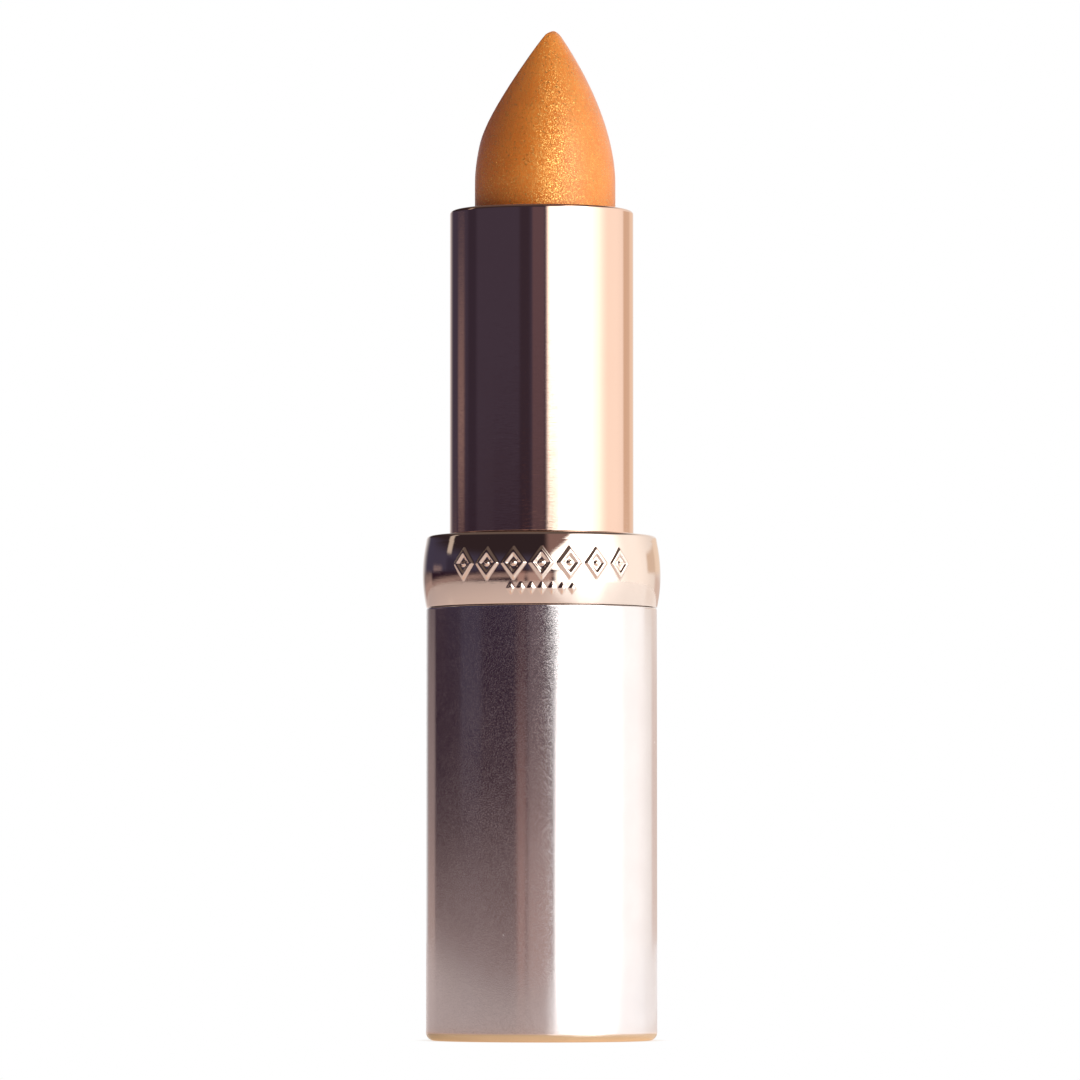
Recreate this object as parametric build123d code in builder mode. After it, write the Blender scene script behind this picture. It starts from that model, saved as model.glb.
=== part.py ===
from build123d import *
import math
import os

# Twist-up lipstick case, open and with the stick raised.
#
# Millimetres. Z points up along the case's axis and the origin is the centre of the face it stands on.
# The front, with the main ornament, faces -Y. The sizes are worked out from the stick outwards, and
# from the floor upwards.
#
# Three groups move: the base with the guide inside it, the tube with the spiral inside it, and the cup
# with the stick. Turning the tube lifts the cup, whose lugs run in the guide's upright slots and in the
# spiral.

os.makedirs("parts", exist_ok=True)

match_gap = 0.01  # edges this close to a wanted radius and height are the wanted ones
first_diagonal = 45.0  # degrees, where the first hub key and the first cup rib stand

# ---------------------------------------------------------------- clearances
running_gap = 0.05  # radial, between plastic pieces that turn or slide on each other
glue_gap = 0.02  # radial, between pieces that are pressed or glued together
axial_gap = 0.10  # along Z, between turning faces
shell_gap = 0.10  # radial, between the turning tube and the collar's mouth
bush_gap = 0.15  # radial, between the turning tube and the bush around it
seam_gap = 0.05  # along Z, the fine seam between collar and base

# ---------------------------------------------------------------- stick and cup
bullet_radius = 6.05
bullet_seat_depth = 8.5  # length of stick held in the cup
bullet_offset = 0.30  # the stick stands this far to +X of the cup's axis, above the cup
bullet_step_gap = 0.10  # the offset begins this far above the cup's rim
nose_length = 13.1  # from the stick's shoulder to its tip
nose_reach = 14.6  # from the shoulder to the point that the nose curve aims at
nose_power = 1.8  # the nose narrows with this power of the height above the shoulder
nose_curve_points = 8
facet_turn = 36.0  # degrees, from -X towards +Y, that the slanted facet faces
facet_slope = 28.0  # degrees between the middle of the facet and the upright
facet_hollow_radius = 24.0  # the facet is slightly hollow
facet_middle_reach = 0.85  # from the stick's axis to the middle of the facet
facet_middle_drop = 4.0  # from the tip down to the middle of the facet
facet_edge_radius = 0.22
cup_clearance = 0.05  # radial, between stick and cup
cup_wall = 0.40
cup_floor = 0.80
cup_skirt = 2.20  # height of the wall below the cup's floor
cup_skirt_wall = 0.80
grip_rib_height = 0.30
grip_rib_width = 0.50
grip_rib_top_gap = 1.00  # the ribs stop this far below the cup's rim
grip_rib_count = 4
lug_count = 2
lug_radius = 0.70
lug_drop = 0.90  # axis of the lugs below the underside of the cup's floor

# ---------------------------------------------------------------- sleeves
guide_wall = 0.45
guide_slot_gap = 0.05  # each side of a lug
guide_end_gap = 0.30  # past a lug at each end of its travel
guide_top_drop = 0.60  # top of the guide below the rim of the tube
helix_wall = 0.48
helix_lead = 12.0  # rise for one turn of the tube
helix_slot_gap = 0.12  # square to the slot, each side of a lug
helix_end_turn = 10.0  # degrees of slot past a lug at each end
lug_tip_gap = 0.15  # between the lug's end and the inside of the tube

# ---------------------------------------------------------------- travel
travel_down = 17.0
travel_up = 3.0
tip_cover = 1.40  # the lowered tip lies this far below the rim
rim_cover = 0.40  # the raised cup lies this far below the rim

# ---------------------------------------------------------------- tube
tube_wall = 0.35
tube_lip_width = 1.15  # how far the lip at the mouth reaches in
tube_rim_radius = 0.28
tube_lip_rounding = 0.14
tube_seat_rounding = 0.20
tube_crimp_height = 0.35
tube_seat = 8.0  # depth of the tube's lower end below the top of the collar
tube_groove_width = 0.65  # rolled groove that leaves a shadow line at the collar's mouth
tube_groove_depth = 0.12
tube_groove_show = 0.15  # how much of the groove stands above the collar

# ---------------------------------------------------------------- guide's foot
flange_height = 2.40
flange_gap = 0.10  # radial, between flange and tube
neck_drop = 1.20  # neck left free below the tube
foot_floor_gap = 0.50  # the lowered cup stops this far above the thick foot
foot_wall = 1.50  # neck wall, inwards from the guide's outside
foot_rise = 0.75  # thick foot above the flange
hub_height = 12.0
hub_wall = 1.00
key_count = 4
key_width = 1.20
key_depth = 0.50
ring_section = 0.40  # radius of the friction ring's section
ring_groove_gap = 0.10  # above and below the ring

# ---------------------------------------------------------------- base
ledge_width = 2.0  # from the tube's outside to the base's outside
base_height = 37.0
base_wall = 0.40
base_edge_radius = 0.75
base_rim_radius = 0.12
foot_ring_width = 1.50  # from the base's side to the recess underneath
recess_depth = 0.30
liner_wall = 0.90
liner_floor = 1.20
liner_floor_bore = 4.0
weight_height = 8.25
weight_chamfer = 0.50
weight_bore = 1.60
label_margin = 0.60
label_thickness = 0.12

# ---------------------------------------------------------------- collar
collar_height = 6.15
collar_wall = 0.55
collar_bulge = 0.32  # greatest radius beyond the base's
collar_bulge_place = 0.45  # of the height, where the bulge is greatest
collar_top_inset = 0.10  # top radius short of the base's
collar_edge_radius = 0.70
collar_bottom_radius = 0.12
relief_height = 0.20
relief_row_place = 3.45  # height of the main row above the collar's lower edge
relief_lozenge_height = 2.90
relief_lozenge_width = 2.15
relief_open_share = 0.48  # size of a lozenge's opening to its own
relief_pitch = 13.5  # degrees between lozenges
relief_pairs = 3  # lozenges each side of the middle one
relief_bead_radius = 0.26  # bead in the middle of each opening
relief_small_place = 1.30  # height of the lower row above the collar's lower edge
relief_small_height = 1.10
relief_small_width = 0.70
relief_small_pitch = 5.0  # degrees

# ---------------------------------------------------------------- radii, from the stick outwards
cup_bore = bullet_radius + cup_clearance
cup_radius = cup_bore + cup_wall
guide_bore = cup_radius + running_gap
guide_radius = guide_bore + guide_wall
helix_bore = guide_radius + running_gap
helix_radius = helix_bore + helix_wall
tube_bore = helix_radius + glue_gap
tube_radius = tube_bore + tube_wall
base_radius = tube_radius + ledge_width
lug_reach = tube_bore - lug_tip_gap

# ---------------------------------------------------------------- heights, from the floor upwards
collar_bottom = base_height + seam_gap
collar_top = collar_bottom + collar_height
tube_bottom = collar_top - tube_seat
flange_bottom = tube_bottom + tube_crimp_height + axial_gap
flange_top = flange_bottom + flange_height
foot_top = flange_top + foot_rise
travel = travel_down + travel_up
cup_length = cup_skirt + cup_floor + bullet_seat_depth
tube_top = foot_top + foot_floor_gap + travel + cup_length + rim_cover
cup_top = tube_top - rim_cover - travel_up
cup_bottom = cup_top - cup_length
cup_floor_top = cup_top - bullet_seat_depth
lug_place = cup_floor_top - cup_floor - lug_drop
bullet_tip = tube_top - tip_cover + travel_down
hub_top = tube_bottom - neck_drop
hub_bottom = hub_top - hub_height
guide_top = tube_top - guide_top_drop
lip_bottom = tube_top - tube_wall


def export(piece, name):
    """Label a finished piece and write its STEP file."""
    piece.part.label = name
    export_step(piece.part, f"parts/{name}.step")


def radial_plane(angle, reach, height):
    """Plane facing outwards at an angle in degrees from +X, its x axis level and its y axis up."""
    turn = math.radians(angle)
    outwards = Vector(math.cos(turn), math.sin(turn), 0)
    level = Vector(-math.sin(turn), math.cos(turn), 0)
    return Plane(origin=outwards * reach + Vector(0, 0, height), x_dir=level, z_dir=outwards)


def edges_at(part, radius, height):
    """Round edges of a turned piece that have this radius and lie at this height."""
    return [
        edge
        for edge in part.edges().filter_by(GeomType.CIRCLE)
        if abs(edge.radius - radius) < match_gap and abs(edge.center().Z - height) < match_gap
    ]


# ---------------------------------------------------------------- base_sheath
base_bore = base_radius - base_wall
recess_radius = base_radius - foot_ring_width
base_floor_top = recess_depth + base_wall

with BuildPart() as base_sheath:
    with BuildSketch(Plane.XZ):
        with BuildLine():
            Polyline(
                (0, recess_depth),
                (recess_radius, recess_depth),
                (recess_radius, 0),
                (base_radius, 0),
                (base_radius, base_height),
                (base_bore, base_height),
                (base_bore, base_floor_top),
                (0, base_floor_top),
                close=True,
            )
        make_face()
    revolve(axis=Axis.Z)
    fillet(edges_at(base_sheath, base_radius, 0), base_edge_radius)
    fillet(edges_at(base_sheath, base_bore, base_floor_top), base_edge_radius - base_wall)
    fillet(edges_at(base_sheath, recess_radius, 0), base_rim_radius)
    fillet(edges_at(base_sheath, base_radius, base_height), base_rim_radius)
export(base_sheath, "base_sheath")

# ---------------------------------------------------------------- base_weight
weight_radius = base_bore - running_gap
weight_top = base_floor_top + weight_height

with BuildPart() as base_weight:
    with BuildSketch(Plane.XY.offset(base_floor_top)):
        Circle(weight_radius)
        Circle(weight_bore, mode=Mode.SUBTRACT)
    extrude(amount=weight_height)
    chamfer(edges_at(base_weight, weight_radius, base_floor_top), weight_chamfer)
    chamfer(edges_at(base_weight, weight_radius, weight_top), weight_chamfer)
export(base_weight, "base_weight")

# ---------------------------------------------------------------- shade_label
with BuildPart() as shade_label:
    with BuildSketch(Plane.XY.offset(recess_depth - label_thickness)):
        Circle(recess_radius - label_margin)
    extrude(amount=label_thickness)
export(shade_label, "shade_label")

# ---------------------------------------------------------------- base_liner
liner_radius = base_bore - glue_gap
liner_bore = liner_radius - liner_wall
liner_bottom = weight_top + seam_gap
liner_shelf_bottom = hub_bottom - liner_floor
keyway_reach = liner_bore + key_depth + running_gap
key_angles = [first_diagonal + 360 / key_count * index for index in range(key_count)]

with BuildPart() as base_liner:
    with BuildSketch(Plane.XZ):
        with BuildLine():
            Polyline(
                (liner_radius, liner_bottom),
                (liner_radius, base_height),
                (liner_bore, base_height),
                (liner_bore, hub_bottom),
                (liner_floor_bore, hub_bottom),
                (liner_floor_bore, liner_shelf_bottom),
                (liner_bore, liner_shelf_bottom),
                (liner_bore, liner_bottom),
                close=True,
            )
        make_face()
    revolve(axis=Axis.Z)
    for angle in key_angles:
        with BuildSketch(radial_plane(angle, liner_bore - liner_wall, hub_bottom)):
            Rectangle(
                key_width + 2 * running_gap,
                base_height - hub_bottom,
                align=(Align.CENTER, Align.MIN),
            )
        extrude(amount=keyway_reach - liner_bore + liner_wall, mode=Mode.SUBTRACT)
export(base_liner, "base_liner")

# ---------------------------------------------------------------- guide_sleeve
hub_radius = liner_bore - running_gap
foot_bore = guide_radius - foot_wall
flange_radius = tube_bore - flange_gap
ring_place = (flange_bottom + flange_top) / 2
ring_radius = tube_bore - glue_gap - ring_section
groove_radius = ring_radius - ring_section - glue_gap
groove_height = 2 * (ring_section + ring_groove_gap)
slot_bottom = lug_place - travel_down - lug_radius - guide_end_gap
slot_top = lug_place + travel_up + lug_radius + guide_end_gap

with BuildPart() as guide_sleeve:
    with BuildSketch(Plane.XZ):
        with BuildLine():
            Polyline(
                (hub_radius, hub_bottom),
                (hub_radius, hub_top),
                (guide_radius, hub_top),
                (guide_radius, flange_bottom),
                (flange_radius, flange_bottom),
                (flange_radius, flange_top),
                (guide_radius, flange_top),
                (guide_radius, guide_top),
                (guide_bore, guide_top),
                (guide_bore, foot_top),
                (foot_bore, foot_top),
                (foot_bore, hub_top - hub_wall),
                (hub_radius - hub_wall, hub_top - hub_wall),
                (hub_radius - hub_wall, hub_bottom),
                close=True,
            )
        make_face()
        with Locations(((groove_radius + flange_radius) / 2, ring_place)):
            Rectangle(flange_radius - groove_radius, groove_height, mode=Mode.SUBTRACT)
    revolve(axis=Axis.Z)
    for angle in key_angles:
        with BuildSketch(radial_plane(angle, hub_radius - hub_wall / 2, hub_bottom)):
            Rectangle(key_width, hub_height, align=(Align.CENTER, Align.MIN))
        extrude(amount=hub_wall / 2 + key_depth)
    with BuildSketch(Plane.YZ):
        with Locations((0, (slot_bottom + slot_top) / 2)):
            SlotOverall(slot_top - slot_bottom, 2 * (lug_radius + guide_slot_gap), rotation=90)
    extrude(amount=flange_radius, both=True, mode=Mode.SUBTRACT)
export(guide_sleeve, "guide_sleeve")

# ---------------------------------------------------------------- friction_ring
with BuildPart() as friction_ring:
    with BuildSketch(Plane.XZ):
        with Locations((ring_radius, ring_place)):
            Circle(ring_section)
    revolve(axis=Axis.Z)
export(friction_ring, "friction_ring")

# ---------------------------------------------------------------- collar_insert
collar_bore = base_radius - collar_wall
insert_bore = tube_radius + bush_gap

with BuildPart() as collar_insert:
    with BuildSketch(Plane.XZ):
        with BuildLine():
            Polyline(
                (insert_bore, hub_top + seam_gap),
                (liner_bore - running_gap, hub_top + seam_gap),
                (liner_bore - running_gap, base_height),
                (collar_bore - glue_gap, base_height),
                (collar_bore - glue_gap, collar_top - collar_wall - glue_gap),
                (insert_bore, collar_top - collar_wall - glue_gap),
                close=True,
            )
        make_face()
    revolve(axis=Axis.Z)
export(collar_insert, "collar_insert")

# ---------------------------------------------------------------- collar
collar_mouth = tube_radius + shell_gap
bulge_height = collar_bottom + collar_height * collar_bulge_place


def barrel_arc(growth):
    """Outline of the collar's barrel side, moved outwards by a growth."""
    return ThreePointArc(
        (base_radius + growth, collar_bottom),
        (base_radius + collar_bulge + growth, bulge_height),
        (base_radius - collar_top_inset + growth, collar_top),
    )


def lozenge(width, height):
    """Closed outline of an upright lozenge about the sketch's origin."""
    return Polyline(
        (-width / 2, 0),
        (0, -height / 2),
        (width / 2, 0),
        (0, height / 2),
        close=True,
    )


with BuildPart() as relief_shapes:
    for front in (-90, 90):
        for place in range(-relief_pairs, relief_pairs + 1):
            angle = front + place * relief_pitch
            with BuildSketch(radial_plane(angle, collar_bore, collar_bottom + relief_row_place)):
                with BuildLine():
                    lozenge(relief_lozenge_width, relief_lozenge_height)
                make_face()
                with BuildLine():
                    lozenge(
                        relief_lozenge_width * relief_open_share,
                        relief_lozenge_height * relief_open_share,
                    )
                make_face(mode=Mode.SUBTRACT)
                Circle(relief_bead_radius)
            extrude(amount=ledge_width)
            angle = front + place * relief_small_pitch
            with BuildSketch(radial_plane(angle, collar_bore, collar_bottom + relief_small_place)):
                with BuildLine():
                    lozenge(relief_small_width, relief_small_height)
                make_face()
            extrude(amount=ledge_width)

with BuildPart() as relief:
    with BuildSketch(Plane.XZ):
        with BuildLine():
            barrel_arc(relief_height)
            Polyline(
                (base_radius - collar_top_inset + relief_height, collar_top),
                (collar_bore + glue_gap, collar_top),
                (collar_bore + glue_gap, collar_bottom),
                (base_radius + relief_height, collar_bottom),
            )
        make_face()
    revolve(axis=Axis.Z)
    add(relief_shapes.part, mode=Mode.INTERSECT)

with BuildPart() as collar:
    with BuildSketch(Plane.XZ):
        with BuildLine():
            barrel_arc(0)
            Polyline(
                (base_radius - collar_top_inset, collar_top),
                (collar_mouth, collar_top),
                (collar_mouth, collar_top - collar_wall),
                (collar_bore, collar_top - collar_wall),
                (collar_bore, collar_bottom),
                (base_radius, collar_bottom),
            )
        make_face()
    revolve(axis=Axis.Z)
    fillet(edges_at(collar, base_radius - collar_top_inset, collar_top), collar_edge_radius)
    fillet(edges_at(collar, base_radius, collar_bottom), collar_bottom_radius)
    add(relief.part)
export(collar, "collar")

# ---------------------------------------------------------------- tube_shell
crimp_bore = guide_radius + flange_gap
lip_bore = tube_radius - tube_lip_width
groove_top = collar_top + tube_groove_show
groove_sagitta_radius = (tube_groove_width**2 / 4 + tube_groove_depth**2) / (2 * tube_groove_depth)

with BuildPart() as tube_shell:
    with BuildSketch(Plane.XZ):
        with BuildLine():
            Polyline(
                (crimp_bore, tube_bottom),
                (tube_radius, tube_bottom),
                (tube_radius, tube_top),
                (lip_bore, tube_top),
                (lip_bore, lip_bottom),
                (tube_bore, lip_bottom),
                (tube_bore, tube_bottom + tube_crimp_height),
                (crimp_bore, tube_bottom + tube_crimp_height),
                close=True,
            )
        make_face()
        with Locations(
            (
                tube_radius - tube_groove_depth + groove_sagitta_radius,
                groove_top - tube_groove_width / 2,
            )
        ):
            Circle(groove_sagitta_radius, mode=Mode.SUBTRACT)
    revolve(axis=Axis.Z)
    fillet(edges_at(tube_shell, tube_radius, tube_top), tube_rim_radius)
    fillet(edges_at(tube_shell, tube_radius, tube_bottom), tube_seat_rounding)
    fillet(edges_at(tube_shell, lip_bore, tube_top), tube_lip_rounding)
export(tube_shell, "tube_shell")

# ---------------------------------------------------------------- helix_sleeve
helix_bottom = flange_top + axial_gap
helix_top = lip_bottom - axial_gap
helix_middle = (helix_bore + helix_radius) / 2
lead_slope = math.atan(helix_lead / (2 * math.pi * helix_middle))
helix_slot_height = 2 * (lug_radius + helix_slot_gap) / math.cos(lead_slope)
helix_end_rise = helix_lead * helix_end_turn / 360
helix_start = lug_place - travel_down - helix_end_rise
helix_start_angle = -360 * (travel_down + helix_end_rise) / helix_lead

with BuildPart() as helix_slot:
    with BuildLine():
        slot_path = Helix(
            pitch=helix_lead,
            height=travel + 2 * helix_end_rise,
            radius=helix_middle,
            center=(0, 0, helix_start),
        )
    with BuildSketch(Plane.XZ):
        with Locations((helix_middle, helix_start)):
            Rectangle(2 * helix_wall, helix_slot_height)
    sweep(path=slot_path, is_frenet=True)

with BuildPart() as helix_sleeve:
    with BuildSketch(Plane.XY.offset(helix_bottom)):
        Circle(helix_radius)
        Circle(helix_bore, mode=Mode.SUBTRACT)
    extrude(amount=helix_top - helix_bottom)
    for index in range(lug_count):
        turn = helix_start_angle + 360 / lug_count * index
        add(helix_slot.part, rotation=(0, 0, turn), mode=Mode.SUBTRACT)
export(helix_sleeve, "helix_sleeve")

# ---------------------------------------------------------------- product_cup
skirt_bore = cup_radius - cup_skirt_wall
rib_angles = [first_diagonal + 360 / grip_rib_count * index for index in range(grip_rib_count)]
rib_length = bullet_seat_depth - grip_rib_top_gap

with BuildPart() as product_cup:
    with BuildSketch(Plane.XZ):
        with BuildLine():
            Polyline(
                (skirt_bore, cup_bottom),
                (cup_radius, cup_bottom),
                (cup_radius, cup_top),
                (cup_bore, cup_top),
                (cup_bore, cup_floor_top),
                (0, cup_floor_top),
                (0, cup_floor_top - cup_floor),
                (skirt_bore, cup_floor_top - cup_floor),
                close=True,
            )
        make_face()
    revolve(axis=Axis.Z)
    for angle in rib_angles:
        with BuildSketch(radial_plane(angle, cup_bore - grip_rib_height, cup_floor_top)):
            Rectangle(grip_rib_width, rib_length, align=(Align.CENTER, Align.MIN))
        extrude(amount=grip_rib_height + cup_wall / 2)
    for index in range(lug_count):
        with BuildSketch(radial_plane(360 / lug_count * index, skirt_bore + cup_wall / 2, lug_place)):
            Circle(lug_radius)
        extrude(amount=lug_reach - skirt_bore - cup_wall / 2)
export(product_cup, "product_cup")

# ---------------------------------------------------------------- bullet
step_height = cup_top + bullet_step_gap
shoulder_height = bullet_tip - nose_length
stick_plane = Plane(origin=(bullet_offset, 0, 0), x_dir=(1, 0, 0), z_dir=(0, -1, 0))
stick_axis = Axis((bullet_offset, 0, 0), (0, 0, 1))
facet_out = math.radians(180 - facet_turn)
slope = math.radians(facet_slope)
hollow_reach = facet_middle_reach + facet_hollow_radius * math.cos(slope)
hollow_height = bullet_tip - facet_middle_drop + facet_hollow_radius * math.sin(slope)
hollow_plane = Plane(
    origin=(
        bullet_offset + hollow_reach * math.cos(facet_out),
        hollow_reach * math.sin(facet_out),
        hollow_height,
    ),
    x_dir=(0, 0, 1),
    z_dir=(-math.sin(facet_out), math.cos(facet_out), 0),
)


def nose_point(share):
    """Point of the nose outline, at a share of the way from the shoulder to the aimed-at point."""
    return (bullet_radius * (1 - share**nose_power), shoulder_height + nose_reach * share)


with BuildPart() as bullet:
    with BuildSketch(stick_plane):
        with BuildLine():
            Polyline(
                nose_point(1),
                (0, step_height),
                (bullet_radius, step_height),
                nose_point(0),
            )
            Spline(
                *[nose_point(index / nose_curve_points) for index in range(nose_curve_points + 1)],
                tangents=[(0, 1), (-nose_power * bullet_radius, nose_reach)],
            )
        make_face()
    revolve(axis=stick_axis)
    with BuildSketch(hollow_plane):
        Circle(facet_hollow_radius)
    extrude(amount=bullet_radius, both=True, mode=Mode.SUBTRACT)
    facet_edges = (
        bullet.faces()
        .filter_by(GeomType.CYLINDER)
        .sort_by(lambda face: face.radius)[-1]
        .edges()
    )
    fillet(facet_edges, facet_edge_radius)
    with BuildSketch(Plane.XY.offset(cup_floor_top)):
        Circle(bullet_radius)
    extrude(amount=step_height - cup_floor_top)
    for angle in rib_angles:
        with BuildSketch(radial_plane(angle, bullet_radius - grip_rib_height, cup_floor_top)):
            Rectangle(
                grip_rib_width + 2 * running_gap,
                rib_length + running_gap,
                align=(Align.CENTER, Align.MIN),
            )
        extrude(amount=grip_rib_height + cup_wall, mode=Mode.SUBTRACT)
export(bullet, "bullet")
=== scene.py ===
import math

import bmesh
import bpy
import numpy as np
from mathutils import Matrix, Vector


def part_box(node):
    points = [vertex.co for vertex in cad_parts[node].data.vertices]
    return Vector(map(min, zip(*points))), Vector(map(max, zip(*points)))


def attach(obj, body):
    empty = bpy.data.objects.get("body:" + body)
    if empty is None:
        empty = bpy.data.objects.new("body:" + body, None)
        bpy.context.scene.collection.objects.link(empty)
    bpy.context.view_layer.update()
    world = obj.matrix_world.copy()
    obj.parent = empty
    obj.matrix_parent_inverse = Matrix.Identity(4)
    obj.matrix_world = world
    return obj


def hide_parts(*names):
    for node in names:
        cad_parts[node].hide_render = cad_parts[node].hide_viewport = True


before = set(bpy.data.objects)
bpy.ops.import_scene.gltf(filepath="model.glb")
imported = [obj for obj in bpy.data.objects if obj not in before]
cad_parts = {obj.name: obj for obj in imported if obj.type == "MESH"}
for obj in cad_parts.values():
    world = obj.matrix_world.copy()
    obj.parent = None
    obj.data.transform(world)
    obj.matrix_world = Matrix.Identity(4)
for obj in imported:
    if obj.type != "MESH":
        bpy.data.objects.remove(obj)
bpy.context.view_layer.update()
MM = 0.001

# ---------------------------------------------------------------- sizes, in metres
base_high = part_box("base_sheath")[1]
collar_low, collar_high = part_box("collar")
tube_low, tube_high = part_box("tube_shell")
stick_low, stick_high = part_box("bullet")
cup_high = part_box("product_cup")[1]

BASE_RADIUS = base_high.x
BASE_WALL = 0.40 * MM
BASE_EDGE = 0.75 * MM
BASE_RIM = 0.12 * MM
RECESS_RADIUS = BASE_RADIUS - 1.50 * MM
RECESS_DEPTH = 0.30 * MM

COLLAR_WALL = 0.55 * MM
COLLAR_MOUTH = tube_high.x + 0.10 * MM
COLLAR_TOP_RADIUS = BASE_RADIUS - 0.10 * MM
COLLAR_BULGE = min(collar_high.x, -collar_low.x) - 0.002 * MM
COLLAR_BULGE_PLACE = 0.45
COLLAR_EDGE = 0.70 * MM
COLLAR_BOTTOM_EDGE = 0.12 * MM

TUBE_RADIUS = tube_high.x
TUBE_WALL = 0.35 * MM
TUBE_RIM = 0.28 * MM
TUBE_LIP = 0.14 * MM
TUBE_SEAT_EDGE = 0.20 * MM
TUBE_LIP_WIDTH = 1.15 * MM
TUBE_CRIMP_RADIUS = TUBE_RADIUS - 0.80 * MM
GROOVE_WIDTH = 0.65 * MM
GROOVE_DEPTH = 0.12 * MM
GROOVE_TOP = collar_high.z + 0.15 * MM

STICK_RADIUS = stick_high.y
STICK_OFFSET = stick_high.x - STICK_RADIUS
STICK_STEP = cup_high.z + 0.10 * MM
NOSE_LENGTH = 13.1 * MM
NOSE_REACH = 14.6 * MM
NOSE_POWER = 1.8
FACET_TURN = math.radians(180 - 36)
FACET_SLOPE = math.radians(28)
FACET_HOLLOW = 24.0 * MM
FACET_MIDDLE_REACH = 0.85 * MM
FACET_MIDDLE_DROP = 4.0 * MM
FACET_EDGE = 0.22 * MM
NOMINAL_TIP = stick_high.z + 0.04 * MM
TIP_ROUNDING = 0.42 * MM

# Roundings that several edges share, and the distance at which points count as one.
SOFT_EDGE = 0.08 * MM
SHARP_EDGE = 0.01 * MM
MERGE_DISTANCE = 1e-8


# ---------------------------------------------------------------- meshes
def grid_piece(name, points, close_rows):
    """Piece from a grid of points (rows, columns, 3), whose columns go round and meet again.

    Each quad joins row i to row i + 1 and column j to column j + 1, and the last row joins the first
    where the rows close as well. Points that fall together, at a pole, are merged.
    """
    rows, columns = points.shape[:2]
    index = np.arange(rows * columns).reshape(rows, columns)
    right = np.roll(index, -1, axis=1)
    if close_rows:
        lower, upper = index, np.roll(index, -1, axis=0)
        lower_right, upper_right = right, np.roll(right, -1, axis=0)
    else:
        lower, upper = index[:-1], index[1:]
        lower_right, upper_right = right[:-1], right[1:]
    quads = np.stack([lower, lower_right, upper_right, upper], axis=-1).reshape(-1, 4)
    mesh = bpy.data.meshes.new(name)
    mesh.vertices.add(rows * columns)
    mesh.vertices.foreach_set("co", points.astype(np.float32).ravel())
    mesh.loops.add(quads.size)
    mesh.loops.foreach_set("vertex_index", quads.astype(np.int32).ravel())
    mesh.polygons.add(len(quads))
    mesh.polygons.foreach_set("loop_start", np.arange(0, quads.size, 4, dtype=np.int32))
    mesh.update(calc_edges=True)
    shell = bmesh.new()
    shell.from_mesh(mesh)
    bmesh.ops.remove_doubles(shell, verts=shell.verts, dist=MERGE_DISTANCE)
    bmesh.ops.recalc_face_normals(shell, faces=shell.faces)
    shell.to_mesh(mesh)
    shell.free()
    mesh.polygons.foreach_set("use_smooth", np.ones(len(mesh.polygons), bool))
    piece = bpy.data.objects.new(name, mesh)
    bpy.context.scene.collection.objects.link(piece)
    return piece


def outline(corners, closed, steps=8, support=0.06 * MM):
    """Outline in the (radius, height) plane from corners (radius, height, rounding).

    A rounded corner becomes an arc tangent to both its sides: it starts rounding / tan(half the corner's
    angle) from the corner, and its points turn evenly about a centre on the corner's bisector. A long
    side gets a point just before and after each corner, so that its middle stays flat when shaded.
    """
    corner = np.array([c[:2] for c in corners], float)
    count = len(corner)
    path = []
    for i in range(count):
        here = corner[i]
        if not closed and i in (0, count - 1):
            path.append(here[None])
            continue
        before, after = corner[i - 1] - here, corner[(i + 1) % count] - here
        long_before, long_after = np.linalg.norm(before), np.linalg.norm(after)
        before, after = before / long_before, after / long_after
        half = math.acos(np.clip(before @ after, -1, 1)) / 2
        rounding = max(corners[i][2], SHARP_EDGE)
        reach = min(rounding / math.tan(half), 0.45 * min(long_before, long_after))
        radius = reach * math.tan(half)
        centre = here + (before + after) / np.linalg.norm(before + after) * radius / math.sin(half)
        start, end = here + before * reach - centre, here + after * reach - centre
        turn = math.acos(np.clip(start @ end / radius**2, -1, 1))
        share = np.linspace(0, 1, steps if corners[i][2] else 3)[:, None]
        arc = (np.sin((1 - share) * turn) * start + np.sin(share * turn) * end) / math.sin(turn)
        if long_before > 4 * (reach + support):
            path.append((here + before * (reach + support))[None])
        path.append(centre + arc)
        if long_after > 4 * (reach + support):
            path.append((here + after * (reach + support))[None])
    return np.concatenate(path)


def turned(name, line, close_rows, around=256):
    """Piece turned about Z: a point (radius, height) of the line becomes a full ring."""
    angle = np.linspace(0, 2 * np.pi, around, endpoint=False)
    radius, height = line[:, :1], line[:, 1:]
    points = np.stack(
        [radius * np.cos(angle), radius * np.sin(angle), np.broadcast_to(height, (len(line), around))],
        axis=-1,
    )
    return grid_piece(name, points, close_rows)


def bow(radius, low, high, depth, steps=9):
    """Corners of a shallow round groove in an upright side: depth falls with the square from its middle."""
    share = np.linspace(-1, 1, steps)
    return [(radius - depth * (1 - s * s), low + (high - low) * (s + 1) / 2, 0) for s in share]


def fit_out(piece, body, nodes, material):
    """Puts a piece on its body, in place of its CAD nodes, with its finish."""
    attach(piece, body)
    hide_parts(*nodes)
    piece.data.materials.append(material)


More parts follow.
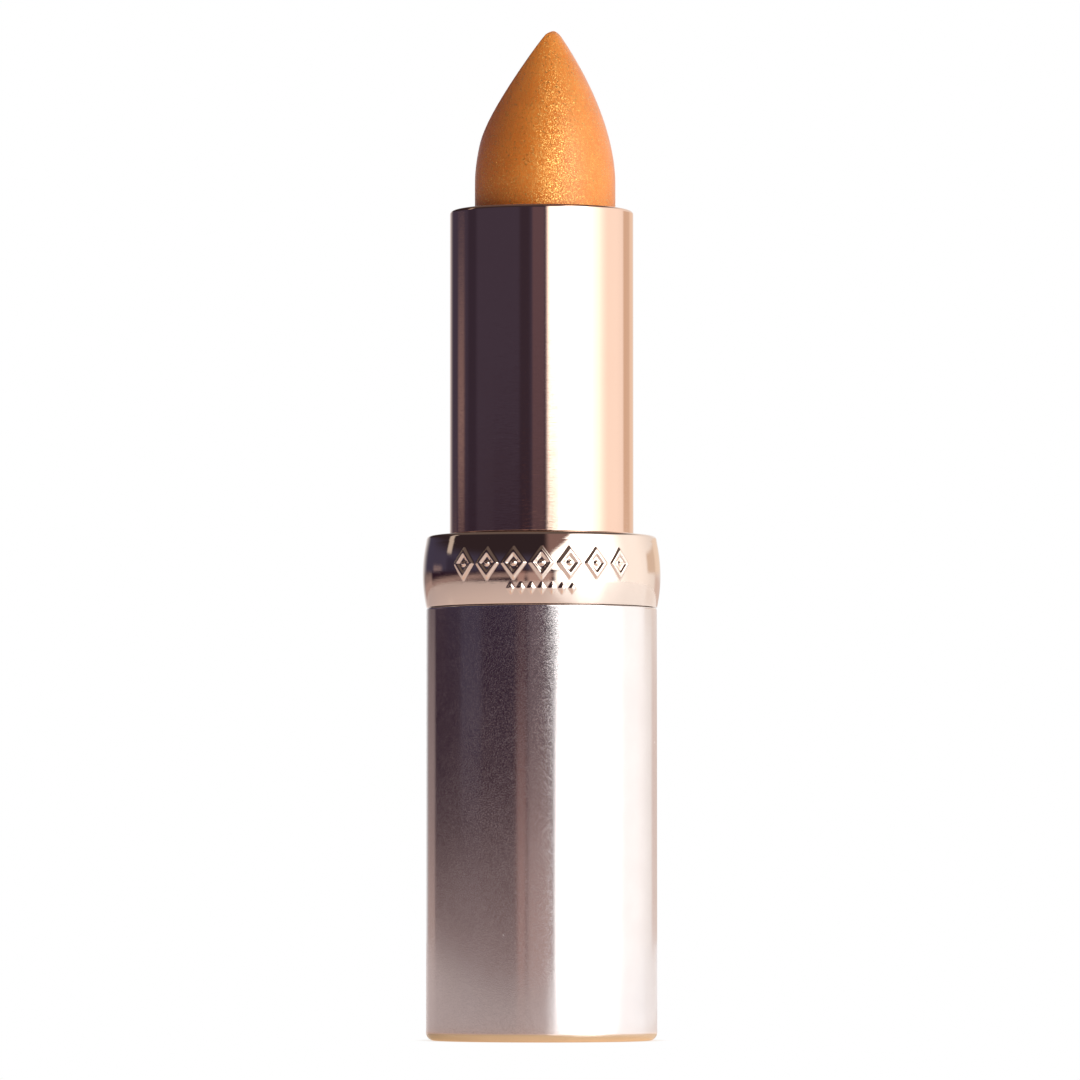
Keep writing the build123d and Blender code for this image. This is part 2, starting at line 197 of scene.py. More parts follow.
# ---------------------------------------------------------------- shader maths
class Socket:
    """A number or vector coming out of a node, with Python's operators."""

    def __init__(self, shader, link):
        self.shader = shader
        self.link = link

    def math(self, operation, *others, **settings):
        settings["operation"] = operation
        return self.shader.node("ShaderNodeMath", settings, {i: v for i, v in enumerate((self, *others))})

    def __add__(self, other):
        return self.math("ADD", other)

    __radd__ = __add__

    def __mul__(self, other):
        return self.math("MULTIPLY", other)

    __rmul__ = __mul__

    def __sub__(self, other):
        return self.math("SUBTRACT", other)

    def __rsub__(self, other):
        return (self * -1) + other

    def __truediv__(self, other):
        return self.math("DIVIDE", other)

    def __pow__(self, other):
        return self.math("POWER", other)

    def clamp(self):
        return self.math("ADD", 0.0, use_clamp=True)

    def above(self, low, high):
        """0 below low, 1 above high and a smooth rise between."""
        settings = {"interpolation_type": "SMOOTHSTEP"}
        inputs = {"Value": self, "From Min": low, "From Max": high}
        return self.shader.node("ShaderNodeMapRange", settings, inputs)


class Shader:
    """Node tree of a material or world, built one node at a time."""

    def __init__(self, tree):
        self.tree = tree
        self.tree.nodes.clear()

    def node(self, kind, settings=None, inputs=None, output=0):
        """Adds a node of this kind, sets its settings, then its inputs, and gives one of its outputs."""
        made = self.tree.nodes.new(kind)
        for key, value in (settings or {}).items():
            setattr(made, key, value)
        for key, value in (inputs or {}).items():
            if isinstance(value, Socket):
                self.tree.links.new(value.link, made.inputs[key])
            else:
                made.inputs[key].default_value = value
        return Socket(self, made.outputs[output])

    def place(self):
        return self.node("ShaderNodeTexCoord", output="Object")

    def stretched(self, scale):
        """Object coordinates, scaled differently along each axis."""
        return self.node("ShaderNodeMapping", {}, {"Vector": self.place(), "Scale": scale})

    def noise(self, scale, detail=3.0, where=None, roughness=0.5):
        inputs = {"Vector": where or self.place(), "Scale": scale, "Detail": detail, "Roughness": roughness}
        return self.node("ShaderNodeTexNoise", {}, inputs)

    def cells(self, scale, output):
        inputs = {"Vector": self.place(), "Scale": scale}
        return self.node("ShaderNodeTexVoronoi", {}, inputs, output)

    def mix(self, share, first, second):
        """Colour between two others."""
        inputs = {0: share, 6: first, 7: second}
        return self.node("ShaderNodeMix", {"data_type": "RGBA"}, inputs, 2)

    def bump(self, height, distance, strength=1.0):
        inputs = {"Height": height, "Distance": distance, "Strength": strength}
        return self.node("ShaderNodeBump", {}, inputs)

    def vector(self, operation, first, second=None, **inputs):
        """Vector maths on one vector or two."""
        inputs[0] = first
        if second is not None:
            inputs[1] = second
        return self.node("ShaderNodeVectorMath", {"operation": operation}, inputs)

    def split(self, vector):
        """The three parts of a vector."""
        parts = self.tree.nodes.new("ShaderNodeSeparateXYZ")
        self.tree.links.new(vector.link, parts.inputs[0])
        return [Socket(self, parts.outputs[i]) for i in range(3)]

    def finish(self, surface, kind="ShaderNodeOutputMaterial"):
        end = self.tree.nodes.new(kind)
        self.tree.links.new(surface.link, end.inputs["Surface"])


def rgb(red, green, blue):
    return (red, green, blue, 1.0)


def material(name, build):
    """New material whose nodes are made by a function of its shader, which gives the surface."""
    made = bpy.data.materials.new(name)
    made.use_nodes = True
    shader = Shader(made.node_tree)
    shader.finish(build(shader))
    return made


# ---------------------------------------------------------------- finishes
# How fine each pattern is, in repeats to the metre.
SMUDGES = 140
BUFFING = (900, 900, 26000)
WEAR = 2600
GRAIN = 13000
GRAIN_DENTS = 12000
SILVER_CLOUDS = 260
DUST = 620
FLAKES = 26000
LARGE_FLAKES = 12000
WAX_CLOUDS = 420
WAX_SKIN = 5000
PLASTIC_CLOUDS = 300
PLASTIC_SKIN = 6000
TOOL_RINGS = 26000
STEEL_PATCHES = 240
FIBRES_ALONG = (900, 6000, 900)
FIBRES_ACROSS = (6000, 900, 900)
PAPER_MOTTLE = 700
# How deep the relief is, in metres.
BUFFING_DEPTH = 0.0000012
GRAIN_DEPTH = 0.0000006
WAX_SKIN_DEPTH = 0.000004
PLASTIC_SKIN_DEPTH = 0.000006
TOOL_RING_DEPTH = 0.000004
FIBRE_DEPTH = 0.00001


def polished(tint, worn_tint):
    """Mirror finish in a metal's tint.

    It has faint smudges in the gloss, worn specks, and hair-fine buffing marks round the axis.
    """
    def build(shader):
        smudge = shader.noise(SMUDGES, 4, roughness=0.6).above(0.42, 0.75)
        marks = shader.noise(1.0, 3, where=shader.stretched(BUFFING))
        worn = shader.noise(WEAR, 2).above(0.66, 0.8)
        return shader.node("ShaderNodeBsdfPrincipled", {}, {
            "Base Color": shader.mix(smudge * 0.5, rgb(*tint), rgb(*worn_tint)),
            "Metallic": 1.0,
            "Roughness": smudge * 0.03 + worn * 0.02 + 0.04,
            "Normal": shader.bump(marks, BUFFING_DEPTH),
        })
    return build


def drawn_silver(shader):
    """Drawn and brightened sheet: a mirror broken by an even tiny grain, whose haze spreads round the case.

    The haze shows where a light tone meets a dark one, and a few specks of dust catch the light.
    """
    grain = shader.noise(GRAIN, 3, roughness=0.6)
    fine = shader.noise(GRAIN_DENTS, 2)
    cloud = shader.noise(SILVER_CLOUDS, 4).above(0.3, 0.7)
    speck = 1 - shader.cells(DUST, "Distance").above(0.03, 0.06)
    chosen = shader.split(shader.cells(DUST, "Color"))[0].above(0.95, 0.96)
    dust = speck * chosen
    tint = shader.mix(cloud, rgb(0.92, 0.865, 0.855), rgb(0.95, 0.90, 0.89))
    return shader.node("ShaderNodeBsdfPrincipled", {}, {
        "Base Color": shader.mix(dust * 0.5, tint, rgb(0.95, 0.86, 0.84)),
        "Metallic": 1.0,
        "Roughness": grain.above(0.45, 0.6) * 0.11 + cloud * 0.01 + dust * 0.3 + 0.07,
        "Anisotropic": 0.6,
        "Normal": shader.bump(fine, GRAIN_DEPTH),
    })


def pearl_wax(shader):
    """Orange wax full of gold mica.

    Each tiny cell is plain wax or, one time in six, a bright metal flake, and so are a few larger cells.
    Each flake's colour number also tips it a little out of the surface, so that single flakes glint where
    their neighbours stay dark.
    """
    cell = shader.cells(FLAKES, "Color")
    flake = shader.split(cell)
    gold = flake[0].above(0.82, 0.86)
    large = shader.cells(LARGE_FLAKES, "Color")
    glint = shader.split(large)[1].above(0.955, 0.97)
    cloud = shader.noise(WAX_CLOUDS, 3).above(0.3, 0.7)
    wax = shader.mix(cloud, rgb(0.86, 0.235, 0.022), rgb(0.92, 0.275, 0.03))
    metal = (gold + glint).clamp()
    tip = shader.vector("SUBTRACT", shader.mix(glint, cell, large), (0.5, 0.5, 0.5))
    tipped = shader.vector("SCALE", tip, Scale=metal * 0.6)
    skin = shader.bump(shader.noise(WAX_SKIN, 2), WAX_SKIN_DEPTH, 0.7)
    return shader.node("ShaderNodeBsdfPrincipled", {}, {
        "Base Color": shader.mix(metal, wax, rgb(1.0, 0.60, 0.17)),
        "Metallic": metal * 0.9,
        "Roughness": 0.42 - metal * 0.06,
        "Specular IOR Level": 0.5,
        "Sheen Weight": 0.5,
        "Sheen Roughness": 0.4,
        "Sheen Tint": rgb(0.95, 0.80, 1.0),
        "Normal": shader.vector("NORMALIZE", shader.vector("ADD", skin, tipped)),
    })


def moulded(tint, shade, gloss):
    """Moulded plastic in two close tints, with a fine skin texture and slightly uneven gloss."""
    def build(shader):
        cloud = shader.noise(PLASTIC_CLOUDS, 4).above(0.3, 0.7)
        skin = shader.noise(PLASTIC_SKIN, 2)
        return shader.node("ShaderNodeBsdfPrincipled", {}, {
            "Base Color": shader.mix(cloud, rgb(*tint), rgb(*shade)),
            "Roughness": cloud * 0.08 + skin * 0.06 + gloss,
            "Normal": shader.bump(skin, PLASTIC_SKIN_DEPTH, 0.5),
        })
    return build


def turned_steel(shader):
    """Turned steel: fine tool rings that follow the distance from the axis, and patchy gloss."""
    x, y = shader.split(shader.place())[:2]
    reach = (x * x + y * y) ** 0.5
    rings = (reach * TOOL_RINGS).math("SINE")
    patch = shader.noise(STEEL_PATCHES, 4)
    return shader.node("ShaderNodeBsdfPrincipled", {}, {
        "Base Color": shader.mix(patch, rgb(0.42, 0.42, 0.43), rgb(0.58, 0.58, 0.58)),
        "Metallic": 1.0,
        "Roughness": patch * 0.2 + 0.25,
        "Normal": shader.bump(rings, TOOL_RING_DEPTH, 0.7),
    })


def label_paper(shader):
    """Uncoated paper: soft fibres in two directions and a slightly mottled tone."""
    along = shader.noise(1.0, 3, where=shader.stretched(FIBRES_ALONG))
    across = shader.noise(1.0, 3, where=shader.stretched(FIBRES_ACROSS))
    mottle = shader.noise(PAPER_MOTTLE, 4)
    return shader.node("ShaderNodeBsdfPrincipled", {}, {
        "Base Color": shader.mix(mottle, rgb(0.80, 0.74, 0.66), rgb(0.88, 0.83, 0.76)),
        "Roughness": mottle * 0.1 + 0.75,
        "Normal": shader.bump(along + across, FIBRE_DEPTH, 0.5),
    })


tube_metal = material("rose_gold", polished((0.90, 0.635, 0.50), (0.87, 0.60, 0.47)))
collar_metal = material("champagne_gold", polished((0.92, 0.77, 0.67), (0.89, 0.735, 0.63)))
base_metal = material("drawn_silver", drawn_silver)
stick_wax = material("pearl_wax", pearl_wax)
CARRIED_OVER = {
    "base_liner": material("liner_plastic", moulded((0.045, 0.043, 0.042), (0.06, 0.057, 0.055), 0.42)),
    "collar_insert": material("insert_plastic", moulded((0.05, 0.048, 0.046), (0.065, 0.06, 0.058), 0.4)),
    "guide_sleeve": material("guide_plastic", moulded((0.66, 0.60, 0.52), (0.72, 0.67, 0.60), 0.34)),
    "helix_sleeve": material("helix_plastic", moulded((0.58, 0.56, 0.52), (0.66, 0.63, 0.58), 0.38)),
    "product_cup": material("cup_plastic", moulded((0.70, 0.66, 0.60), (0.76, 0.73, 0.68), 0.26)),
    "friction_ring": material("ring_rubber", moulded((0.02, 0.02, 0.02), (0.035, 0.034, 0.033), 0.55)),
    "base_weight": material("turned_steel", turned_steel),
    "shade_label": material("label_paper", label_paper),
}
for node, finish in CARRIED_OVER.items():
    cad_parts[node].data.materials.clear()
    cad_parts[node].data.materials.append(finish)

# ---------------------------------------------------------------- base_body
base_bore = BASE_RADIUS - BASE_WALL
floor_top = RECESS_DEPTH + BASE_WALL
base_line = outline([
    (0, RECESS_DEPTH, 0),
    (RECESS_RADIUS, RECESS_DEPTH, 0.10 * MM),
    (RECESS_RADIUS, 0, BASE_RIM),
    (BASE_RADIUS, 0, BASE_EDGE),
    (BASE_RADIUS, base_high.z, BASE_RIM),
    (base_bore, base_high.z, SOFT_EDGE),
    (base_bore, floor_top, BASE_EDGE - BASE_WALL),
    (0, floor_top, 0),
], closed=False, steps=12)
fit_out(turned("base_body", base_line, False), "base", ["base_sheath"], base_metal)

# ---------------------------------------------------------------- collar_band
RELIEF = 0.18 * MM
LOZENGE_TALL = 2.9 * MM
LOZENGE_WIDE = 2.15 * MM
LOZENGE_STROKE = 0.34 * MM
LOZENGE_PITCH = math.radians(13.5)
LOZENGE_PAIRS = 3
LOZENGE_ROW = collar_low.z + 3.45 * MM
SMALL_TALL = 1.1 * MM
SMALL_WIDE = 0.70 * MM
SMALL_ROW = collar_low.z + 1.30 * MM
SMALL_PITCH = math.radians(5)
BEVEL = 0.15 * MM
BEAD_RADIUS = 0.26 * MM
BARREL_ROWS = 92
BAND_COLUMNS = 720
BAND_MARGIN = 0.14 * MM


def barrel(rows):
    """Outer line of the collar: the circle through its lower edge, its greatest radius and its top edge.

    The centre is where the two perpendicular bisectors meet, and the points turn evenly about it.
    """
    low = np.array([BASE_RADIUS, collar_low.z])
    high = np.array([COLLAR_TOP_RADIUS, collar_high.z])
    bulge_height = collar_low.z + (collar_high.z - collar_low.z) * COLLAR_BULGE_PLACE
    middle = np.array([COLLAR_BULGE, bulge_height])
    sides = 2 * np.array([middle - low, high - low])
    centre = np.linalg.solve(sides, [middle @ middle - low @ low, high @ high - low @ low])
    radius = np.linalg.norm(low - centre)
    first, last = (math.atan2(p[1] - centre[1], p[0] - centre[0]) for p in (low, high))
    margin = BAND_MARGIN / radius
    angle = np.linspace(first + margin, last - COLLAR_EDGE / radius * 0.95, rows)
    out = np.stack([np.cos(angle), np.sin(angle)], axis=-1)
    return centre + radius * out, out


def smooth(share):
    """0 below 0, 1 above 1 and a smooth rise between: 3 s squared less 2 s cubed."""
    share = np.clip(share, 0, 1)
    return share * share * (3 - 2 * share)


def lozenge_depth(across, up, wide, tall):
    """How far inside a lozenge's edge a point lies, found from |across| / half width + |up| / half height."""
    inside = 1 - 2 * np.abs(across) / wide - 2 * np.abs(up) / tall
    return inside * wide * tall / 2 / math.hypot(wide, tall)


def motif_height(around, height):
    """Height of the raised ornament at a turn around the collar and a height on it.

    Each large lozenge is a ridge that follows its edge, with a low bead in its middle. The small lozenges
    below are flat on top. Edges rise smoothly over the bevel's width. The same rows stand at the
    front and at the back.
    """
    raised = np.zeros(np.broadcast(around, height).shape)
    for front in (-math.pi / 2, math.pi / 2):
        turn = (around - front + math.pi) % (2 * math.pi) - math.pi
        for place in range(-LOZENGE_PAIRS, LOZENGE_PAIRS + 1):
            across, up = (turn - place * LOZENGE_PITCH) * BASE_RADIUS, height - LOZENGE_ROW
            depth = lozenge_depth(across, up, LOZENGE_WIDE, LOZENGE_TALL)
            ridge = smooth(depth / BEVEL) * smooth((LOZENGE_STROKE + BEVEL - depth) / BEVEL)
            bead = smooth((BEAD_RADIUS - np.hypot(across, up)) / BEVEL)
            across, up = (turn - place * SMALL_PITCH) * BASE_RADIUS, height - SMALL_ROW
            small = smooth(lozenge_depth(across, up, SMALL_WIDE, SMALL_TALL) / BEVEL)
            raised = np.maximum.reduce([raised, ridge, bead, small])
    return raised * RELIEF


def collar_band():
    """The collar: its closed outline turned about Z, with the ornament added square to the barrel side."""
    side, out = barrel(BARREL_ROWS)
    bore = BASE_RADIUS - COLLAR_WALL
    land = collar_high.z - COLLAR_WALL
    rest = outline([
        (*side[-1], 0),
        (COLLAR_TOP_RADIUS + 0.05 * MM, collar_high.z, COLLAR_EDGE),
        (COLLAR_MOUTH, collar_high.z, 0.10 * MM),
        (COLLAR_MOUTH, land, 0),
        (bore, land, 0),
        (bore, collar_low.z, 0.05 * MM),
        (BASE_RADIUS, collar_low.z, COLLAR_BOTTOM_EDGE),
        (*side[0], 0),
    ], closed=False, steps=6)
    line = np.concatenate([side, rest[1:-1]])
    push = np.concatenate([out, np.zeros((len(rest) - 2, 2))])
    angle = np.linspace(0, 2 * np.pi, BAND_COLUMNS, endpoint=False)
    raised = motif_height(angle[None], line[:, 1:]) * (np.abs(push).sum(axis=1) > 0)[:, None]
    radius = line[:, :1] + push[:, :1] * raised
    height = line[:, 1:] + push[:, 1:] * raised
    points = np.stack([radius * np.cos(angle), radius * np.sin(angle), height], axis=-1)
    return grid_piece("collar_band", points, True)


fit_out(collar_band(), "base", ["collar"], collar_metal)

# ---------------------------------------------------------------- tube_body
tube_bore = TUBE_RADIUS - TUBE_WALL
tube_line = outline([
    (TUBE_CRIMP_RADIUS, tube_low.z, SOFT_EDGE),
    (TUBE_RADIUS, tube_low.z, TUBE_SEAT_EDGE),
    *bow(TUBE_RADIUS, GROOVE_TOP - GROOVE_WIDTH, GROOVE_TOP, GROOVE_DEPTH),
    (TUBE_RADIUS, tube_high.z, TUBE_RIM),
    (TUBE_RADIUS - TUBE_LIP_WIDTH, tube_high.z, TUBE_LIP),
    (TUBE_RADIUS - TUBE_LIP_WIDTH, tube_high.z - TUBE_WALL, SOFT_EDGE),
    (tube_bore, tube_high.z - TUBE_WALL, 0),
    (tube_bore, tube_low.z + TUBE_WALL, 0),
    (TUBE_CRIMP_RADIUS, tube_low.z + TUBE_WALL, SOFT_EDGE),
], closed=True)
fit_out(turned("tube_body", tube_line, True), "tube", ["tube_shell"], tube_metal)


# ---------------------------------------------------------------- wax_stick
def wax_stick(columns=224):
    """The stick as level rings round a line that leans from its axis towards the tip.

    At each height the section is a circle, whose radius falls with a power of the height above the
    shoulder, cut by a straight line, which is the hollow facet. A ring's reach in each direction is the
    smooth lesser of the distances to circle and line. Over the last part below the tip the rings also
    shrink as a circle's half chord does, which rounds the tip.
    """
    shoulder = NOMINAL_TIP - NOSE_LENGTH
    tip = stick_high.z
    cap = tip - TIP_ROUNDING
    straight = np.array([0, 0.0005, 0.5, 1.0]) * (shoulder - STICK_STEP) + STICK_STEP
    nose = np.linspace(shoulder, cap, 150)[1:]
    dome = cap + (tip - cap) * np.sin(np.linspace(0, np.pi / 2, 16))[1:]
    height = np.concatenate([straight, nose, dome])[:, None]
    share = np.clip((height - shoulder) / NOSE_REACH, 0, None)
    radius = STICK_RADIUS * (1 - share**NOSE_POWER)
    hollow_reach = FACET_MIDDLE_REACH + FACET_HOLLOW * math.cos(FACET_SLOPE)
    hollow_height = NOMINAL_TIP - FACET_MIDDLE_DROP + FACET_HOLLOW * math.sin(FACET_SLOPE)
    chord = np.sqrt(np.clip(FACET_HOLLOW**2 - (height - hollow_height) ** 2, 0, None))
    facet = hollow_reach - chord
    facet = np.where(height < hollow_height - FACET_HOLLOW * 0.98, 10 * STICK_RADIUS, facet)
    lean = np.minimum(0, (facet - radius) / 2)
    angle = np.linspace(0, 2 * np.pi, columns, endpoint=False)
    toward = np.cos(angle - FACET_TURN)
    aside = lean * np.sin(angle - FACET_TURN)
    to_circle = -lean * toward + np.sqrt(np.clip(radius**2 - aside**2, 0, None))
    to_facet = np.where(toward > 1e-3, (facet - lean) / np.maximum(toward, 1e-3), 1.0)
    soft = np.minimum(FACET_EDGE, to_circle * 0.3)
    gap = np.clip(1 - np.abs(to_circle - to_facet) / (4 * soft + 1e-9), 0, 1)
    reach = np.minimum(to_circle, to_facet) - soft * gap**2
    rise = np.clip((height - cap) / (tip - cap), 0, 1)
    reach = reach * np.sqrt(1 - rise**2)
    shift = np.where(height >= STICK_STEP, STICK_OFFSET, 0)
    x = shift + lean * math.cos(FACET_TURN) + reach * np.cos(angle)
    y = lean * math.sin(FACET_TURN) + reach * np.sin(angle)
    upper = np.stack([x, y, np.broadcast_to(height, x.shape)], axis=-1)
    seat_height = np.array([0, 0.02, 0.98, 1.0])[:, None] * (STICK_STEP - stick_low.z) + stick_low.z
    seat_x = np.broadcast_to(STICK_RADIUS * np.cos(angle), (4, columns))
    seat_y = np.broadcast_to(STICK_RADIUS * np.sin(angle), (4, columns))
    seat = np.stack([seat_x, seat_y, np.broadcast_to(seat_height, (4, columns))], axis=-1)
    foot = seat[:1] * [0, 0, 1]
    return grid_piece("wax_stick", np.concatenate([foot, seat, upper]), False)


fit_out(wax_stick(), "carrier", ["bullet"], stick_wax)

# ---------------------------------------------------------------- floor
FLOOR_RADIUS = 0.9
FLOOR_SETBACK = 0.55
FLOOR_THICKNESS = 0.002
FLOOR_SUPPORT = 0.0005
FLOOR_MOTTLE = 30
# Where one tone of the table gives way to the next, in metres from the axis or to the right of it.
FOOT_FADE = (0.0115, 0.018)
NEAR_FADE = (0.03, 0.06)
NEAR_SIDES = (-0.01, 0.04)
FAR_SIDES = (-0.01, 0.085)
SHADOW_EDGE = (0.0094, 0.0112)
# Painted warm glow round the foot: a dimmer, warmer tone close to the object, in the table's colour and its
# glow.
PAINTED_FOOT_GLOW = (0.64, 0.445, 0.25)
# Painted shade on the left and painted light on the right: the table's tones darken leftwards, as light falls
# off to the left.
NEAR_LEFT_PAINTED_SHADE = (0.78, 0.54, 0.42)
NEAR_RIGHT_PAINTED_LIGHT = (1.0, 0.93, 0.86)
FAR_LEFT_PAINTED_SHADE = (0.70, 0.60, 0.57)
FAR_RIGHT_PAINTED_LIGHT = (0.96, 0.98, 1.0)


def pale_table(shader):
    """Pale table with a thin gloss that glows in its own tones, which is painted light: a painted warm glow
    round the foot, paler outwards, painted light to the right and painted shade to the left.

    The gloss mirrors the dim wall at a low slant. The camera sees the table as clean white, but for a trace
    of painted shadow close to the foot.
    """
    x, y = shader.split(shader.place())[:2]
    away = (x * x + y * y) ** 0.5
    mottle = shader.noise(FLOOR_MOTTLE, 3)
    # Painted light and shade: the table is paler to the right and darker to the left, near the foot and
    # further out.
    near = shader.mix(x.above(*NEAR_SIDES), rgb(*NEAR_LEFT_PAINTED_SHADE), rgb(*NEAR_RIGHT_PAINTED_LIGHT))
    # Painted warm glow close to the foot.
    near = shader.mix(away.above(*FOOT_FADE), rgb(*PAINTED_FOOT_GLOW), near)
    far = shader.mix(x.above(*FAR_SIDES), rgb(*FAR_LEFT_PAINTED_SHADE), rgb(*FAR_RIGHT_PAINTED_LIGHT))
    tone = shader.mix(away.above(*NEAR_FADE), near, far)
    tone = shader.mix(mottle * 0.1, tone, rgb(0.7, 0.65, 0.62))
    table = shader.node("ShaderNodeBsdfPrincipled", {}, {
        "Base Color": tone,
        "Roughness": mottle * 0.1 + 0.6,
        "Specular IOR Level": 0.1,
        "Coat Weight": 0.5,
        "Coat Roughness": 0.12,
        "Coat IOR": 1.5,
        # The table glows in its tone: painted light, standing in for the light falling on it.
        "Emission Color": tone,
        "Emission Strength": 0.62,
    })
    glow = shader.node("ShaderNodeEmission", {}, {"Color": rgb(1, 1, 1), "Strength": 1.0})
    seen = shader.node("ShaderNodeLightPath", output="Is Camera Ray")
    # Painted shadow close to the foot: within this distance the camera sees part of the lit table, with its
    # real shade and painted glow, instead of plain white.
    clear = away.above(*SHADOW_EDGE) * 0.4 + 0.6
    return shader.node("ShaderNodeMixShader", {}, {0: seen * clear, 1: table, 2: glow})


floor_line = np.array([
    (0, 0),
    (0.1, 0),
    (FLOOR_RADIUS - FLOOR_SUPPORT, 0),
    (FLOOR_RADIUS, 0),
    (FLOOR_RADIUS, -FLOOR_THICKNESS),
    (0, -FLOOR_THICKNESS),
])
floor = turned("floor", floor_line, False, around=96)
floor.data.transform(Matrix.Translation((0, FLOOR_SETBACK, 0)))
floor.data.materials.append(material("pale_table", pale_table))

# ---------------------------------------------------------------- studio light
SOFTBOX = (2.15, 2.15, 2.15)
SOFTBOX_CORE = (5.0, 5.0, 5.0)
DIM_UPPER = (0.056, 0.049, 0.086)
DIM_LOWER = (0.027, 0.013, 0.024)
DIM_HIGH = (0.030, 0.020, 0.024)
EDGE_GLOW = (0.24, 0.15, 0.14)
LOW_HAZE = (0.33, 0.235, 0.22)
PALE_WALL = (1.12, 1.08, 1.05)
PALE_BACK = (0.86, 0.80, 0.76)
BACKDROP = (0.95, 0.93, 0.93)
CEILING = (0.13, 0.10, 0.09)
# Where the wall's tones give way to each other, as turns or tilts in degrees.
UPPER_TILT = (2.5, 2.85)
HIGH_TILT = (9, 16)
HAZE_TOP = (-1.3, 1.1)
HAZE_FOOT = (-4.5, -1.5)
CEILING_TILT = (27, 46)
EDGE_TURN = (4.2, 11.7)
EDGE_GLOW_TURN = (2, 9)
EDGE_LOW = 6.5
EDGE_MIDDLE = 7
EDGE_MIDDLE_TILT = (1.2, 2.4)
EDGE_HIGH = 24
EDGE_HIGH_TILT = (10, 30)
SOFTBOX_END = (58, 94)
CORE_START = (28, 42)
CORE_END = (54, 68)
CORE_FOOT = (-4, 4)
CORE_TOP = (28, 48)
WALL_TURN = (104, 150)
WALL_END = (150, 178)
BACKDROP_TURN = (146, 176)
BACKDROP_HIGH_SHIFT = 14
# Strips of the wall: turn, half width, softness, lowest and highest tilt in degrees, then the tone.
STRIPS = [
    (-146, 9, 6, 0.6, 2.4, (0.24, 0.18, 0.175)),
    (-146, 9, 6, -30, 0.6, (0.40, 0.29, 0.265)),
    (-122, 4, 8, 3.1, 4.6, (0.27, 0.20, 0.21)),
    (-104, 2, 3, 11, 30, (0.55, 0.48, 0.42)),
    (-98, 4, 8, 2.4, 9, (0.038, 0.031, 0.056)),
    (-76, 9, 8, 1.2, 2.2, (0.058, 0.048, 0.074)),
    (-20, 3, 4, -0.2, 1.2, (0.26, 0.145, 0.13)),
    (-20, 2, 3, -30, 0.2, (0.40, 0.26, 0.235)),
    (-21, 4, 5, 2.4, 9, (0.040, 0.031, 0.052)),
    (-4, 6, 3, 2.4, 9, (0.12, 0.085, 0.115)),
    (-2, 9, 5, 0.9, 2.2, (0.10, 0.075, 0.085)),
    (-2, 9, 5, -30, 0.6, (0.43, 0.30, 0.275)),
    (137, 9, 6, 2.4, 9, (0.72, 0.57, 0.46)),
    (156, 8, 6, 2.4, 9, (0.88, 0.72, 0.59)),
    (162, 14, 8, -30, 2.2, (0.70, 0.56, 0.50)),
]


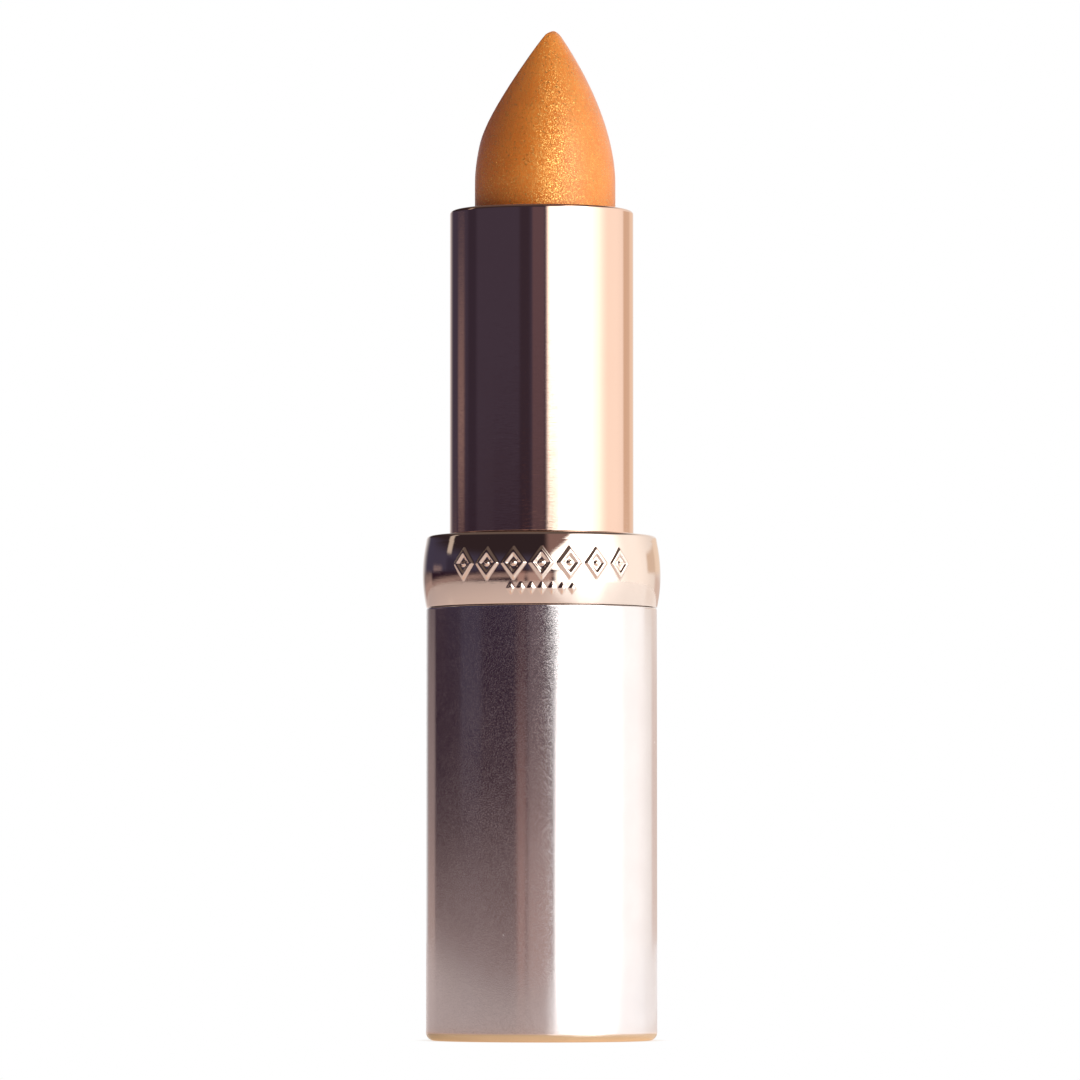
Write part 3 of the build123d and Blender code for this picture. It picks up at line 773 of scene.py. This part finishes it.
def studio_light():
    """Soft studio round the object, by turn and tilt in degrees; the camera itself sees plain white.

    Turn 0 is straight in front and positive turns are to the right. The wall is dim on the left, a large
    softbox stands front right, pale walls follow behind it, and the backdrop closes the ring. The
    softbox's left edge lies further right low down and high up. Strips of other tones lie on the wall.
    """
    world = bpy.data.worlds.new("studio")
    bpy.context.scene.world = world
    world.use_nodes = True
    shader = Shader(world.node_tree)
    x, y, z = shader.split(shader.node("ShaderNodeTexCoord", output="Generated"))
    turn = x.math("ARCTAN2", y * -1) * math.degrees(1)
    tilt = z.math("ARCSINE") * math.degrees(1)
    upper = tilt.above(*UPPER_TILT)
    low_shift = tilt.above(*EDGE_MIDDLE_TILT) * EDGE_MIDDLE + EDGE_LOW
    edge_turn = turn - (low_shift * (1 - upper) + tilt.above(*EDGE_HIGH_TILT) * EDGE_HIGH)
    dim = shader.mix(upper, rgb(*DIM_LOWER), rgb(*DIM_UPPER))
    dim = shader.mix((1 - tilt.above(*HAZE_TOP)) * tilt.above(*HAZE_FOOT), dim, rgb(*LOW_HAZE))
    high = tilt.above(*HIGH_TILT)
    tone = shader.mix(high, dim, rgb(*DIM_HIGH))
    tone = shader.mix(high * turn.above(*EDGE_GLOW_TURN), tone, rgb(*EDGE_GLOW))
    leftward = turn * -1 - high * BACKDROP_HIGH_SHIFT
    tone = shader.mix(leftward.above(*BACKDROP_TURN), tone, rgb(*BACKDROP))
    lit = edge_turn.above(*EDGE_TURN)
    wall = shader.mix(turn.above(*WALL_TURN), rgb(*PALE_WALL), rgb(*PALE_BACK))
    wall = shader.mix(turn.above(*WALL_END), wall, rgb(*BACKDROP))
    tone = shader.mix(lit, tone, wall)
    tone = shader.mix(lit * (1 - turn.above(*SOFTBOX_END)), tone, rgb(*SOFTBOX))
    core_across = turn.above(*CORE_START) * (1 - turn.above(*CORE_END))
    core = core_across * tilt.above(*CORE_FOOT) * (1 - tilt.above(*CORE_TOP))
    tone = shader.mix(core, tone, rgb(*SOFTBOX_CORE))
    for middle, half, soft, bottom, top, strip in STRIPS:
        away = (turn - middle).math("ABSOLUTE")
        across = 1 - away.above(half, half + soft)
        along = tilt.above(bottom - 0.6, bottom + 0.6) * (1 - tilt.above(top - 1, top + 1))
        tone = shader.mix(across * along, tone, rgb(*strip))
    tone = shader.mix(tilt.above(*CEILING_TILT), tone, rgb(*CEILING))
    around = shader.node("ShaderNodeBackground", {}, {"Color": tone, "Strength": 1.0})
    white = shader.node("ShaderNodeBackground", {}, {"Color": rgb(1, 1, 1), "Strength": 1.0})
    seen = shader.node("ShaderNodeLightPath", output="Is Camera Ray")
    both = shader.node("ShaderNodeMixShader", {}, {0: seen, 1: around, 2: white})
    shader.finish(both, "ShaderNodeOutputWorld")


studio_light()
bpy.context.scene.view_settings.view_transform = "Standard"

# ---------------------------------------------------------------- camera
CAMERA_DISTANCE = 0.627
CAMERA_HEIGHT = 12 * MM
AIM_HEIGHT = 42.9 * MM
AIM_SIDE = -0.14 * MM
SENSOR = 36.0
FRAME_HEIGHT = 92.8 * MM


def camera():
    """Long lens just above the floor, straight in front, whose frame is a set height at the object's axis."""
    lens = bpy.data.cameras.new("camera")
    lens.sensor_width = SENSOR
    rise = AIM_HEIGHT - CAMERA_HEIGHT
    lens.lens = SENSOR * math.hypot(CAMERA_DISTANCE, rise) / FRAME_HEIGHT
    lens.clip_start, lens.clip_end = 0.05, 20.0
    made = bpy.data.objects.new("camera", lens)
    made.location = (AIM_SIDE, -CAMERA_DISTANCE, CAMERA_HEIGHT)
    made.rotation_euler = (math.pi / 2 + math.atan2(rise, CAMERA_DISTANCE), 0, 0)
    bpy.context.scene.collection.objects.link(made)
    bpy.context.scene.camera = made


camera()
